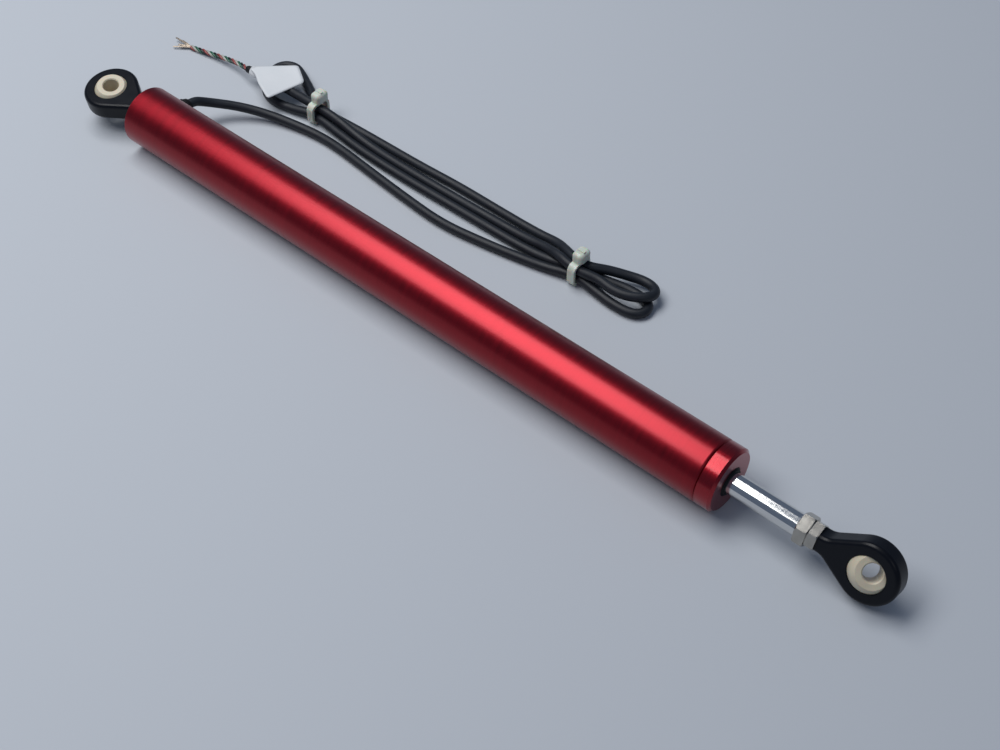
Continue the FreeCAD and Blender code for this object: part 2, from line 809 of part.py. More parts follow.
def tail_direction():
    ahead = tail_route()[-1].sub(tail_route()[-2])
    ahead.normalize()
    return ahead


def end_sleeve():
    return Part.makeCylinder(sleeve_diameter / 2, sleeve_length, tail_route()[-1],
                             tail_direction())


def wire_tag():
    """A flag label: a flat wing and a wrap round the cable's last stretch."""
    z = tail_height()
    level = z + cable_radius + tag_lift
    corners = [(-2.0, 30.5, 0.5), (-1.3, 32.9, 0.5), (10.7, 41.9, 1.2),
               (17.3, 37.9, 1.2), (14.6, 22.9, 1.2), (3.0, 29.1, 1.5)]
    placed = [(outlet_x + x, body_radius + y, r) for x, y, r in corners]
    wing = flat_piece(placed, level, level + tag_thickness)
    back = tail_direction().multiply(-1)
    start = tail_route()[-1].add(V(back).multiply(0.4))
    wrap = Part.makeCylinder(wrap_radius(), tag_wrap_length, start, back)
    wrap = wrap.cut(Part.makeCylinder(cable_radius, tag_wrap_length + 2, start.sub(back), back))
    return wing.fuse(wrap)


wire_colours = ("green", "black", "red", "white")


def wire_offset(number):
    """Where each wire lies about the middle of the four, square to the sleeve's end."""
    step = wire_diameter / 2 + wire_gap
    side, rise = ((1, 1), (1, -1), (-1, -1), (-1, 1))[number]
    ahead = tail_direction()
    return V(-ahead.y * side * step, ahead.x * side * step, rise * step)


def wire_middle():
    """The middle of the four wires, from the sleeve down to the surface."""
    start = tail_route()[-1].add(tail_direction().multiply(sleeve_length))
    low = wire_diameter + wire_gap + floor_gap
    return [start, start.add(tail_direction().multiply(4.2))] + beside_tube([
        (-15.0, 31.2, low + 2.0), (-20.6, 31.5, low + 0.9), (-26.4, 30.6, low + 0.2),
        (-32.0, 29.1, low)])


def signal_wire(number):
    points = [p.add(wire_offset(number)) for p in wire_middle()]
    return tube_along(points, wire_diameter, wire_colours[number] + " wire")


def wire_tips():
    """The four stripped ends, spread apart."""
    ends = beside_tube([(-35.2, 30.1, 1.2), (-34.9, 27.9, 1.0), (-35.6, 26.1, 0.8),
                         (-38.0, 29.7, 1.3)])
    tips = []
    for number in range(len(wire_colours)):
        start = wire_middle()[-1].add(wire_offset(number))
        ahead = ends[number].sub(start)
        tips.append(Part.makeCylinder(conductor_diameter / 2, ahead.Length, start, ahead))
    return Part.makeCompound(tips)


save("body_tube", body_tube())
save("front_cap", front_cap())
save("front_seal", seal_ring(front_seal_x()))
save("rod_bearing", rod_bearing())
save("rod_wiper", rod_wiper())
save("end_cushion", end_cushion())
save("rear_plug", rear_plug())
save("rear_seal", seal_ring(rear_seal_x()))
save("rear_eye_stud", place_eye(eye_stud(rear_stud_length), rear_eye_x, rear_eye_roll, -1))
save("rear_eye", place_eye(eye_head(), rear_eye_x, rear_eye_roll, -1))
save("rear_ball", place_eye(tilted(eye_ball(), rear_ball_tilt, rear_ball_heading),
                            rear_eye_x, rear_eye_roll, -1))
save("coil_mount", coil_mount())
save("probe_former", probe_former())
save("sensing_coil", sensing_coil())
save("probe_tip", probe_tip())
save("circuit_board", circuit_board())
save("lead_terminal", lead_terminal())
save("signal_chips", signal_chips())
save("board_capacitors", board_capacitors())
save("inner_lead", inner_lead())
save("rod", rod())
save("rod_guide", rod_guide())
save("guide_clips", guide_clips())
save("jam_nut", jam_nut())
save("front_eye_stud", place_eye(eye_stud(stud_length + nut_thickness), front_eye_x, front_eye_roll, 1))
save("front_eye", place_eye(eye_head(), front_eye_x, front_eye_roll, 1))
save("front_ball", place_eye(tilted(eye_ball(), front_ball_tilt, front_ball_heading),
                             front_eye_x, front_eye_roll, 1))
save("cable_grommet", cable_grommet())
save("signal_cable", tube_along(cable_route(), cable_diameter, "signal cable"))
save("cable_hank", cable_hank())
save("rear_cable_tie", cable_tie(tie_places()[0]))
save("front_cable_tie", cable_tie(tie_places()[1]))
save("cable_tail", cable_tail())
save("end_sleeve", end_sleeve())
save("wire_tag", wire_tag())
for number in range(len(wire_colours)):
    save("wire_" + wire_colours[number], signal_wire(number))
save("wire_tips", wire_tips())
print("overall length", round(overall_length, 2), "front face at", round(front_x, 3),
      "eyes at", round(rear_eye_x, 3), round(front_eye_x, 3))
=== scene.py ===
import math

import bmesh
import bpy
from mathutils import Matrix, Vector


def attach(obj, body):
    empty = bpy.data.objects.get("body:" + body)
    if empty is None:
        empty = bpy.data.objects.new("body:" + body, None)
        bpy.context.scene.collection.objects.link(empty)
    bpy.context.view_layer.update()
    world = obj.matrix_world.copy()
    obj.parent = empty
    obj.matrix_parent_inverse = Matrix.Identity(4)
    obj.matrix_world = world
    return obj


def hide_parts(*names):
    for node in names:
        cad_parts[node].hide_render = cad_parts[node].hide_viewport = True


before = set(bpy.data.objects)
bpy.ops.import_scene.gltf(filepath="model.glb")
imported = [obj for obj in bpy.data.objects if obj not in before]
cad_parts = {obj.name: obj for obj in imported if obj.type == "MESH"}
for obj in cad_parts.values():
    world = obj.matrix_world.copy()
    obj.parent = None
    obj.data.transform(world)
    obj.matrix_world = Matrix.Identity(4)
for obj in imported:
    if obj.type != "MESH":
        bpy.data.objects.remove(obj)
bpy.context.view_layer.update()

# The camera stands over the rod end's near side and looks down along the tube, as in the photograph.
# Its place is counted from the tube's front face, in metres.
overall_length = 0.30155
head_radius = 0.0088
eye_reach = 0.01745
nut_thickness = 0.0032
rod_exposed = 0.0215
body_length = 0.225
body_radius = 0.019050 / 2
front_eye_x = overall_length / 2 - head_radius
front_face_x = front_eye_x - eye_reach - nut_thickness - rod_exposed
rear_face_x = front_face_x - body_length
outlet_x = rear_face_x + 0.006
camera_azimuth = math.radians(40.31)
camera_elevation = math.radians(49.29)
camera_place = Vector((front_face_x + 0.11325, -0.22546, 0.33676))


def shown(name, data):
    """A new object in the scene."""
    made = bpy.data.objects.new(name, data)
    bpy.context.scene.collection.objects.link(made)
    return made


back = Vector((math.sin(camera_azimuth) * math.cos(camera_elevation),
               -math.cos(camera_azimuth) * math.cos(camera_elevation),
               math.sin(camera_elevation)))
camera_data = bpy.data.cameras.new("camera")
camera_data.sensor_width = 36.0
camera_data.lens = 56.88
camera_data.clip_start = 0.01
camera_data.clip_end = 20.0
camera = shown("camera", camera_data)
camera.rotation_mode = "QUATERNION"
camera.rotation_quaternion = (-back).to_track_quat("-Z", "Y")
camera.location = camera_place
bpy.context.scene.camera = camera


# The cable's jacket is a soft, nearly black plastic with a fine matt grain and faint scuffs.
# It is the first finish, so the classes that write the materials' sums stand here.
class Link:
    """One socket of a material. Arithmetic on it adds Math nodes, and node() adds any other."""

    def __init__(self, tree, socket):
        self.tree = tree
        self.socket = socket

    def node(self, kind, settings, values, out=0):
        made = self.tree.nodes.new(kind)
        for name, value in settings.items():
            setattr(made, name, value)
        for name, value in values.items():
            if isinstance(value, Link):
                self.tree.links.new(value.socket, made.inputs[name])
            else:
                made.inputs[name].default_value = value
        return Link(self.tree, made.outputs[out])

    def math(self, operation, other):
        return self.node("ShaderNodeMath", {"operation": operation}, {0: self, 1: other})

    def __add__(self, other):
        return self.math("ADD", other)

    def __mul__(self, other):
        return self.math("MULTIPLY", other)

    __radd__ = __add__
    __rmul__ = __mul__

    def between(self, first, second):
        """The colour that lies this far from the first to the second. A Mix node's colours are its
        sockets 6 and 7, after those for numbers and vectors."""
        return self.node("ShaderNodeMix", {"data_type": "RGBA"}, {0: self, 6: first, 7: second}, 2)


class Finish:
    """A material with its shader, the place on the object, and x along the sensor."""

    def __init__(self, name, colour, roughness, metallic=0.0, **fixed):
        self.material = bpy.data.materials.new(name)
        self.material.use_nodes = True
        tree = self.material.node_tree
        self.shader = next(n for n in tree.nodes if n.type == "BSDF_PRINCIPLED")
        self.place = Link(tree, None).node("ShaderNodeTexCoord", {}, {}, "Object")
        self.x = self.place.node("ShaderNodeSeparateXYZ", {}, {0: self.place}, "X")
        self.set("Base Color", (*colour, 1))
        self.set("Roughness", roughness)
        self.set("Metallic", metallic)
        for socket, value in fixed.items():
            self.set(socket.replace("_", " "), value)

    def set(self, socket, value):
        if isinstance(value, Link):
            self.shader.id_data.links.new(value.socket, self.shader.inputs[socket])
        else:
            self.shader.inputs[socket].default_value = value

    def noise(self, scale, detail=2.0):
        """Even grain, with features of about one part in scale of a metre."""
        return self.place.node("ShaderNodeTexNoise", {}, {"Vector": self.place, "Scale": scale,
                                                          "Detail": detail})

    def rings(self, scale, detail=3.0):
        """Lines that run round the sensor's axis, as turning leaves them."""
        return self.x.node("ShaderNodeTexNoise", {"noise_dimensions": "1D"},
                           {"W": self.x, "Scale": scale, "Detail": detail})

    def relief(self, height, depth):
        """Bumps of the given depth in metres."""
        self.set("Normal", height.node("ShaderNodeBump", {},
                                       {"Strength": 1.0, "Distance": depth, "Height": height}))


def dress(node, finish):
    """Gives a CAD piece its finish."""
    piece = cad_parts[node]
    piece.data.materials.clear()
    piece.data.materials.append(finish.material)
    return piece


def settle(piece, finish, body):
    """Gives a new piece its finish, its body and the slot that it takes its finish from."""
    piece.data.materials.clear()
    piece.data.materials.append(finish.material)
    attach(piece, body)
    return piece


jacket = Finish("cable_jacket", (0.012, 0.014, 0.018), 0.5, Specular_IOR_Level=0.32)
grain = jacket.noise(5200, 3)
jacket.relief(grain, 0.00002)
scuffs = jacket.noise(240, 4)
jacket.set("Base Color", scuffs.between((0.008, 0.010, 0.014, 1), (0.018, 0.022, 0.030, 1)))
jacket.set("Roughness", scuffs * 0.2 + 0.36)


# The signal cable is one round cable that leaves the grommet, comes down to the surface and is folded
# twice at the front and once at the rear, with a tie at each end. Its points are in millimetres: x
# from the outlet, the side from the tube and the height from the surface.
cable_diameter = 0.003
grommet_height = 0.0024


def beside_tube(x, side, height):
    """A place counted from the outlet, from the tube's side and from the surface."""
    return Vector((outlet_x + x, body_radius + side, height))


free_stretch = [
    (0.0, 4.8, 9.35), (0.9, 7.4, 8.0), (3.2, 11.0, 6.3), (7.2, 15.0, 4.9), (12.8, 18.8, 3.5),
    (19.4, 21.6, 2.4), (27.0, 23.5, 1.8), (35.0, 24.7, 1.6), (44.0, 24.7, 1.55), (60.0, 22.9, 1.55),
    (78.0, 21.0, 1.55), (93.0, 19.9, 1.55), (108.0, 21.9, 1.55), (120.0, 24.0, 1.55),
    (129.0, 25.9, 1.6), (135.7, 27.8, 2.3), (140.7, 28.1, 2.4)]
lower_front_fold = [
    (146.0, 27.6, 1.75), (152.0, 26.9, 1.55), (157.5, 27.0, 1.55), (161.0, 28.2, 1.55),
    (162.4, 30.9, 1.55), (161.2, 33.7, 1.55), (157.4, 34.8, 1.55), (152.0, 34.5, 1.55),
    (146.5, 33.0, 1.9), (140.7, 31.2, 2.45), (135.7, 30.9, 2.4)]
first_run_back = [
    (129.0, 28.6, 2.3), (118.0, 27.8, 1.6), (94.0, 27.9, 1.55), (70.0, 27.7, 1.55),
    (52.0, 28.2, 1.6), (40.0, 29.3, 2.0), (31.0, 30.3, 2.4), (26.0, 30.2, 2.4)]
rear_fold = [
    (20.0, 28.6, 1.8), (12.5, 27.3, 1.55), (7.5, 28.6, 1.55), (4.2, 31.6, 1.55), (1.2, 36.0, 1.55),
    (0.2, 40.4, 1.55), (1.8, 43.6, 1.55), (5.4, 44.8, 1.55), (9.6, 43.1, 1.55), (15.5, 40.2, 1.6),
    (21.0, 37.0, 1.9), (26.0, 33.7, 2.4), (31.0, 33.4, 2.4)]
run_forward = [
    (40.0, 34.4, 1.9), (52.0, 34.9, 1.55), (70.0, 35.0, 1.55), (86.0, 35.7, 1.55),
    (102.0, 35.5, 1.55), (118.0, 35.3, 1.8), (126.0, 35.2, 3.0), (131.0, 33.0, 4.6),
    (135.7, 31.2, 5.4), (140.7, 31.3, 5.4)]
upper_front_fold = [
    (145.0, 34.6, 4.5), (150.0, 37.4, 3.4), (155.0, 39.3, 2.9), (159.2, 38.8, 3.2),
    (161.6, 36.2, 3.9), (160.6, 32.6, 4.7), (156.4, 29.8, 4.7), (151.0, 28.9, 4.6),
    (146.0, 29.6, 4.9), (140.7, 28.3, 5.4), (135.7, 28.2, 5.4)]
second_run_back = [
    (131.0, 29.4, 5.3), (124.0, 31.2, 3.2), (115.0, 31.3, 1.7), (94.0, 31.2, 1.55),
    (74.0, 31.0, 1.55), (56.0, 31.3, 1.6), (46.0, 31.7, 2.4), (38.0, 32.0, 4.2), (31.0, 31.95, 5.0),
    (26.0, 31.95, 5.0)]
tail = [(20.0, 32.0, 4.9), (12.0, 32.2, 4.7), (5.0, 31.9, 4.65), (-1.8, 31.3, 4.6)]

outlet = beside_tube(0, grommet_height, body_radius)
cable_route = [outlet]
for stretch in (free_stretch, lower_front_fold, first_run_back, rear_fold, run_forward,
                upper_front_fold, second_run_back, tail):
    cable_route += [beside_tube(x / 1000, side / 1000, height / 1000) for x, side, height in stretch]


def round_curve(name, radius, rounding, capped=True):
    """A curve with a round section and no lines yet."""
    curve = bpy.data.curves.new(name, "CURVE")
    curve.dimensions = "3D"
    curve.bevel_depth = radius
    curve.bevel_resolution = rounding
    curve.use_fill_caps = capped
    return curve


def add_smooth_line(curve, places):
    """A line that starts and ends at the outer places and bends smoothly along the others."""
    line = curve.splines.new("NURBS")
    line.points.add(len(places) - 1)
    for point, place in zip(line.points, places):
        point.co = (*place, 1)
    line.order_u = 3
    line.use_endpoint_u = True


cable_curve = round_curve("signal_cable_jacket", cable_diameter / 2, 7)
cable_curve.resolution_u = 10
add_smooth_line(cable_curve, cable_route)
signal_cable = shown("signal_cable_jacket", cable_curve)
settle(signal_cable, jacket, "housing")
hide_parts("signal_cable", "cable_hank", "cable_tail")


# The four signal wires come out of the sleeve twisted together, each a thin lead in coloured
# insulation. One node tree winds all four round the same middle line.
wire_diameter = 0.00072
wire_spread = 0.00037
wire_sides = 14
twist_pitch = 0.0066
twist_steps = 140
sleeve_length = 0.002
tail_start = cable_route[-1]
tail_ahead = (cable_route[-1] - cable_route[-2]).normalized()
low = wire_diameter + 0.00008
wire_middle = [tail_start + tail_ahead * sleeve_length]
for x, side, height in ((-0.0064, 0.0318, 0.0039), (-0.0110, 0.0322, 0.0031),
                        (-0.0170, 0.0319, 0.0021), (-0.0240, 0.0309, 0.0013),
                        (-0.0306, 0.0298, low)):
    wire_middle.append(beside_tube(x, side, height))


def smooth(piece):
    """Shades a piece's faces as one round surface."""
    for polygon in piece.data.polygons:
        polygon.use_smooth = True


def meshed(carrier, name):
    """A plain mesh object with the shape that a carrier shows."""
    shape = carrier.evaluated_get(bpy.context.evaluated_depsgraph_get())
    mesh = bpy.data.meshes.new_from_object(shape)
    mesh.name = name
    return shown(name, mesh)


class Steps:
    """Adds the nodes of a geometry tree with named inputs, and joins them."""

    def __init__(self, name, inputs):
        self.tree = bpy.data.node_groups.new(name, "GeometryNodeTree")
        sockets = self.tree.interface
        self.names = {label: sockets.new_socket(label, in_out="INPUT", socket_type=kind).identifier
                      for label, kind in inputs}
        sockets.new_socket("Geometry", in_out="OUTPUT", socket_type="NodeSocketGeometry")
        self.given = self.tree.nodes.new("NodeGroupInput")

    def step(self, kind, settings, values, out=0):
        made = self.tree.nodes.new(kind)
        for name, value in settings.items():
            setattr(made, name, value)
        for name, value in values.items():
            if isinstance(value, bpy.types.NodeSocket):
                self.tree.links.new(value, made.inputs[name])
            else:
                made.inputs[name].default_value = value
        return made.outputs[out]

    def sum(self, operation, *values):
        return self.step("ShaderNodeMath", {"operation": operation}, dict(enumerate(values)))

    def vector(self, operation, *values):
        return self.step("ShaderNodeVectorMath", {"operation": operation},
                         dict(enumerate(values)))

    def scaled(self, vector, *factors):
        """A vector times the product of two numbers."""
        return self.step("ShaderNodeVectorMath", {"operation": "SCALE"},
                         {0: vector, "Scale": self.sum("MULTIPLY", *factors)})

    def end(self, geometry):
        self.tree.links.new(geometry, self.tree.nodes.new("NodeGroupOutput").inputs[0])

    def apply(self, carrier, values, name):
        """Runs the tree on a carrier and returns the result as a plain mesh object."""
        modifier = carrier.modifiers.new("steps", "NODES")
        modifier.node_group = self.tree
        for label, value in values.items():
            modifier[self.names[label]] = value
        bpy.context.view_layer.update()
        made = meshed(carrier, name)
        carrier.modifiers.remove(modifier)
        smooth(made)
        return made


wind = Steps("wind_wire", (("Path", "NodeSocketGeometry"), ("Pitch", "NodeSocketFloat"),
                           ("Spread", "NodeSocketFloat"), ("Start", "NodeSocketFloat"),
                           ("Radius", "NodeSocketFloat"), ("Insulation", "NodeSocketMaterial")))
given = wind.given.outputs
path = wind.step("GeometryNodeResampleCurve", {}, {"Curve": given["Path"], "Count": twist_steps})
gone = wind.step("GeometryNodeSplineParameter", {}, {}, 1)
turned = wind.sum("ADD", wind.sum("MULTIPLY", wind.sum("DIVIDE", gone, given["Pitch"]), math.tau),
                  given["Start"])
normal = wind.step("GeometryNodeInputNormal", {}, {})
tangent = wind.step("GeometryNodeInputTangent", {}, {})
across = wind.vector("CROSS_PRODUCT", tangent, normal)
along_normal = wind.scaled(normal, wind.sum("COSINE", turned), given["Spread"])
along_across = wind.scaled(across, wind.sum("SINE", turned), given["Spread"])
moved = wind.step("GeometryNodeSetPosition", {},
                  {"Geometry": path, "Offset": wind.vector("ADD", along_normal, along_across)})
ring = wind.step("GeometryNodeCurvePrimitiveCircle", {"mode": "RADIUS"},
                 {"Resolution": wire_sides, "Radius": given["Radius"]})
lead = wind.step("GeometryNodeCurveToMesh", {},
                 {"Curve": moved, "Profile Curve": ring, "Fill Caps": True})
lead = wind.step("GeometryNodeSetMaterial", {}, {"Geometry": lead, "Material": given["Insulation"]})
wind.end(wind.step("GeometryNodeRealizeInstances", {}, {"Geometry": lead}))

path_curve = bpy.data.curves.new("wire_path", "CURVE")
path_curve.dimensions = "3D"
path_curve.resolution_u = 12
add_smooth_line(path_curve, wire_middle)
path_carrier = shown("wire_path", path_curve)

wire_colours = {"green": (0.010, 0.105, 0.060), "black": (0.006, 0.006, 0.007),
                "red": (0.30, 0.060, 0.055), "white": (0.42, 0.43, 0.38)}
for number, (colour, shade) in enumerate(wire_colours.items()):
    insulation = Finish("wire_" + colour, shade, 0.34, Coat_Weight=0.15)
    insulation.relief(insulation.noise(4000, 2), 0.00002)
    insulation.set("Roughness", insulation.noise(900, 2) * 0.2 + 0.26)
    wire = wind.apply(path_carrier, {"Pitch": twist_pitch, "Spread": wire_spread * math.sqrt(2),
                                     "Start": math.tau * number / 4, "Radius": wire_diameter / 2,
                                     "Insulation": insulation.material}, "twisted_wire_" + colour)
    settle(wire, insulation, "housing")
    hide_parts("wire_" + colour)
bpy.data.objects.remove(path_carrier)


# The stripped ends are a few millimetres of tinned strands, two to each wire, bent apart.
strand_radius = 0.00019
strand_gap = 0.00016
strand_arch = 0.0003
tinned = Finish("tinned_strands", (0.36, 0.30, 0.24), 0.38, 1.0)
tinned.relief(tinned.noise(6000, 2), 0.00002)
tinned.set("Roughness", tinned.noise(1800, 2) * 0.2 + 0.25)
strand_curve = round_curve("stripped_ends", strand_radius, 3)
wire_end = wire_middle[-1]
for x, side, height in ((-0.0352, 0.0301, 0.0012), (-0.0349, 0.0279, 0.0010),
                        (-0.0356, 0.0261, 0.0008), (-0.0380, 0.0297, 0.0013)):
    tip = beside_tube(x, side, height)
    outward = (tip - wire_end).normalized()
    for strand in (-1, 1):
        swing = Vector((-outward.y, outward.x, 0)) * strand_gap * strand
        bend = (wire_end + tip) / 2 + Vector((0, 0, strand_arch)) + swing * 1.5
        add_smooth_line(strand_curve, (wire_end + swing, bend, tip + swing * 0.4))
strand_carrier = shown("stripped_ends_curve", strand_curve)
stripped_ends = meshed(strand_carrier, "stripped_ends")
bpy.data.objects.remove(strand_carrier)
settle(stripped_ends, tinned, "housing")
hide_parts("wire_tips")


# The flag label is a piece of white film, wrapped round the cable's last stretch and pressed
# together. Its wing curls a little, and it carries no print.
film = Finish("label_film", (0.70, 0.72, 0.74), 0.42)
film.relief(film.noise(700, 3), 0.00005)
film.set("Base Color", film.noise(130, 3).between((0.64, 0.67, 0.69, 1), (0.75, 0.76, 0.77, 1)))
film_thickness = 0.0003
wing_lift = 6.0
wing_sag = 3.0
sharp_corners = 2
sharp_cut = 0.0006
round_cut = 0.0013
film_gap = 0.0002
tag_level = cable_route[-2].z + cable_diameter / 2 + film_gap
tag_corners = ((-0.0012, 0.0302), (-0.0006, 0.0325), (0.0102, 0.0414), (0.0173, 0.0370),
               (0.0146, 0.0228), (0.0066, 0.0264), (0.0020, 0.0294))
tag_middle = (0.0075, 0.0335)
tag_sides = 6
tag_rings = 8
film_mesh = bmesh.new()
outline = []
for k, corner in enumerate(tag_corners):
    here = Vector(corner)
    before = Vector(tag_corners[k - 1])
    after = Vector(tag_corners[(k + 1) % len(tag_corners)])
    cut = sharp_cut if k < sharp_corners else round_cut
    first = here + (before - here).normalized() * cut
    last = here + (after - here).normalized() * cut
    for share in range(tag_sides):
        t = share / (tag_sides - 1)
        outline.append(first * (1 - t) ** 2 + here * 2 * t * (1 - t) + last * t ** 2)
middle = Vector(tag_middle)


def tag_height(place):
    """The wing lifts away from the cable and sags along it, each with the square of the distance."""
    out = place - middle
    return tag_level + wing_lift * out.y ** 2 - wing_sag * out.x ** 2


rings = []
for ring_number in range(1, tag_rings + 1):
    share = ring_number / tag_rings
    ring_places = []
    for place in outline:
        at = middle + (place - middle) * share
        ring_places.append(film_mesh.verts.new(beside_tube(at.x, at.y, tag_height(at))))
    rings.append(ring_places)
centre = film_mesh.verts.new(beside_tube(middle.x, middle.y, tag_height(middle)))
count = len(outline)
for k in range(count):
    film_mesh.faces.new((centre, rings[0][(k + 1) % count], rings[0][k]))
    for inner, outer in zip(rings, rings[1:]):
        film_mesh.faces.new((inner[k], inner[(k + 1) % count], outer[(k + 1) % count], outer[k]))
bmesh.ops.recalc_face_normals(film_mesh, faces=film_mesh.faces)
flag_mesh = bpy.data.meshes.new("flag_label")
film_mesh.to_mesh(flag_mesh)
film_mesh.free()
if flag_mesh.polygons[0].normal.z < 0:
    flag_mesh.flip_normals()
flag_label = shown("flag_label", flag_mesh)
thicken = flag_label.modifiers.new("film", "SOLIDIFY")
thicken.thickness = film_thickness
thicken.offset = 1.0
smooth(flag_label)
settle(flag_label, film, "housing")
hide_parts("wire_tag")


def straight_tube(name, radius, capped, stations):
    """A round tube along the cable's last stretch, from each station's distance and swell."""
    curve = round_curve(name, radius, 8, capped)
    line = curve.splines.new("POLY")
    line.points.add(len(stations) - 1)
    for point, (distance, swell) in zip(line.points, stations):
        point.co = (*(tail_start + tail_ahead * distance), 1)
        point.radius = swell
    carrier = shown(name + "_curve", curve)
    made = meshed(carrier, name)
    bpy.data.objects.remove(carrier)
    return made


wrap_thickness = 0.00025
wrap_start = 0.0003
wrap_end = 0.0043
label_wrap = straight_tube("label_wrap", cable_diameter / 2 + film_thickness, False,
                           ((-wrap_start, 1.0), (-wrap_end, 1.0)))
smooth(label_wrap)
wrap_wall = label_wrap.modifiers.new("film", "SOLIDIFY")
wrap_wall.thickness = wrap_thickness
settle(label_wrap, film, "housing")


# The sleeve is a short piece of black heat-shrink that closes the jacket's end and narrows towards
# the wires.
sleeve_diameter = 0.0026
shrink = Finish("black_heat_shrink", (0.008, 0.008, 0.009), 0.45, Specular_IOR_Level=0.3)
shrink.relief(shrink.noise(2500, 3), 0.00004)
shrink.set("Roughness", shrink.noise(700, 2) * 0.2 + 0.35)
end_sleeve = straight_tube("shrink_sleeve", sleeve_diameter / 2, True,
                           ((0.0, 1.0), (sleeve_length * 0.75, 0.97), (sleeve_length, 0.8)))
settle(end_sleeve, shrink, "housing")
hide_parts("end_sleeve")


# The grommet is a black rubber moulding that seals the cable in the tube's wall, and the sealing
# rings and the end cushion are of the same rubber.
rubber = Finish("black_rubber", (0.006, 0.006, 0.007), 0.6, Specular_IOR_Level=0.2)
rubber.relief(rubber.noise(3500, 4), 0.00003)
rubber.set("Roughness", rubber.noise(500, 3) * 0.2 + 0.5)
cable_grommet = dress("cable_grommet", rubber)
for node in ("front_seal", "rear_seal", "end_cushion"):
    dress(node, rubber)


# The two cable ties are natural nylon, slightly cloudy, with a locking head on top of the bundle and
# the strap's cut end just standing out of it.
nylon = Finish("natural_nylon", (0.62, 0.66, 0.57), 0.36, Subsurface_Weight=0.35,
               Subsurface_Scale=0.002, Coat_Weight=0.1)
cloud = nylon.noise(420, 3)
nylon.set("Base Color", cloud.between((0.54, 0.59, 0.49, 1), (0.68, 0.72, 0.63, 1)))
nylon.set("Roughness", cloud * 0.2 + 0.28)
nylon.relief(nylon.noise(1500, 2), 0.00005)
rear_cable_tie = dress("rear_cable_tie", nylon)
front_cable_tie = dress("front_cable_tie", nylon)


# The body tube is drawn aluminium, turned and anodised red, with fine lines round it and a rounded
# rear rim. The node tree sweeps the wall's section round the sensor's axis and drills the outlet.
tube_wall = 0.0015
rear_rim_round = 0.0009
seam_relief = 0.00012
outlet_hole = 0.0044
tube_sides = 192
hole_sides = 48
rim_steps = 7
cap_length = 0.005
seam_x = front_face_x - cap_length
anodised = Finish("red_anodised", (0.26, 0.003, 0.010), 0.38, 0.95, Coat_Weight=0.4,
                  Coat_Roughness=0.26)
streaks = anodised.place.node("ShaderNodeMapping", {}, {"Vector": anodised.place,
                                                        "Scale": (1.0, 0.03, 0.03)})
streaks = streaks.node("ShaderNodeTexNoise", {}, {"Vector": streaks, "Scale": 2600.0, "Detail": 3.0})
bands = anodised.rings(520, 3)
anodised.relief(streaks, 0.000012)
anodised.set("Roughness", streaks * 0.16 + bands * 0.06 + 0.26)
anodised.set("Base Color", (streaks * 0.7 + bands * 0.3).between((0.20, 0.0020, 0.008, 1),
                                                                  (0.33, 0.0045, 0.014, 1)))

sweep = Steps("sweep_wall", (("Radius", "NodeSocketFloat"), ("Wall", "NodeSocketFloat"),
                             ("Length", "NodeSocketFloat"), ("Rear Rim", "NodeSocketFloat"),
                             ("Other Rims", "NodeSocketFloat"), ("Hole", "NodeSocketFloat"),
                             ("Hole Station", "NodeSocketFloat"), ("Metal", "NodeSocketMaterial")))
given = sweep.given.outputs
half_wall = sweep.sum("MULTIPLY", given["Wall"], 0.5)
hoop = sweep.step("GeometryNodeCurvePrimitiveCircle", {"mode": "RADIUS"},
                  {"Resolution": tube_sides,
                   "Radius": sweep.sum("SUBTRACT", given["Radius"], half_wall)})
section = sweep.step("GeometryNodeCurvePrimitiveQuadrilateral", {"mode": "RECTANGLE"},
                     {"Width": given["Wall"], "Height": given["Length"]})
corner_place = sweep.step("GeometryNodeInputPosition", {}, {})
corner = sweep.step("ShaderNodeSeparateXYZ", {}, {0: corner_place}).node.outputs
outer = sweep.sum("GREATER_THAN", corner[0], 0.0)
rear = sweep.sum("LESS_THAN", corner[1], 0.0)
extra_round = sweep.sum("MULTIPLY", sweep.sum("MULTIPLY", outer, rear),
                        sweep.sum("SUBTRACT", given["Rear Rim"], given["Other Rims"]))
section = sweep.step("GeometryNodeFilletCurve", {"mode": "POLY"},
                     {"Curve": section, "Count": rim_steps,
                      "Radius": sweep.sum("ADD", given["Other Rims"], extra_round)})
wall = sweep.step("GeometryNodeCurveToMesh", {}, {"Curve": hoop, "Profile Curve": section})
drill = sweep.step("GeometryNodeMeshCylinder", {},
                   {"Vertices": hole_sides, "Radius": sweep.sum("MULTIPLY", given["Hole"], 0.5),
                    "Depth": given["Radius"]})
drill = sweep.step("GeometryNodeTransform", {}, {
    "Geometry": drill, "Rotation": (math.radians(90), 0, 0),
    "Translation": sweep.step("ShaderNodeCombineXYZ", {}, {1: given["Radius"],
                                                           2: given["Hole Station"]})})
wall = sweep.step("GeometryNodeMeshBoolean", {"operation": "DIFFERENCE"},
                  {"Mesh 1": wall, "Mesh 2": drill})
wall = sweep.step("GeometryNodeTransform", {}, {
    "Geometry": wall, "Rotation": (0, math.radians(90), 0),
    "Translation": ((seam_x + rear_face_x) / 2, 0, body_radius)})
wall = sweep.step("GeometryNodeSetMaterial", {}, {"Geometry": wall, "Material": given["Metal"]})
sweep.end(sweep.step("GeometryNodeRealizeInstances", {}, {"Geometry": wall}))
tube_carrier = shown("tube_carrier", bpy.data.meshes.new("tube_carrier"))
tube_skin = sweep.apply(tube_carrier, {
    "Radius": body_radius, "Wall": tube_wall, "Length": seam_x - rear_face_x,
    "Rear Rim": rear_rim_round, "Other Rims": seam_relief, "Hole": outlet_hole,
    "Hole Station": outlet_x - (seam_x + rear_face_x) / 2, "Metal": anodised.material}, "tube_skin")
bpy.data.objects.remove(tube_carrier)
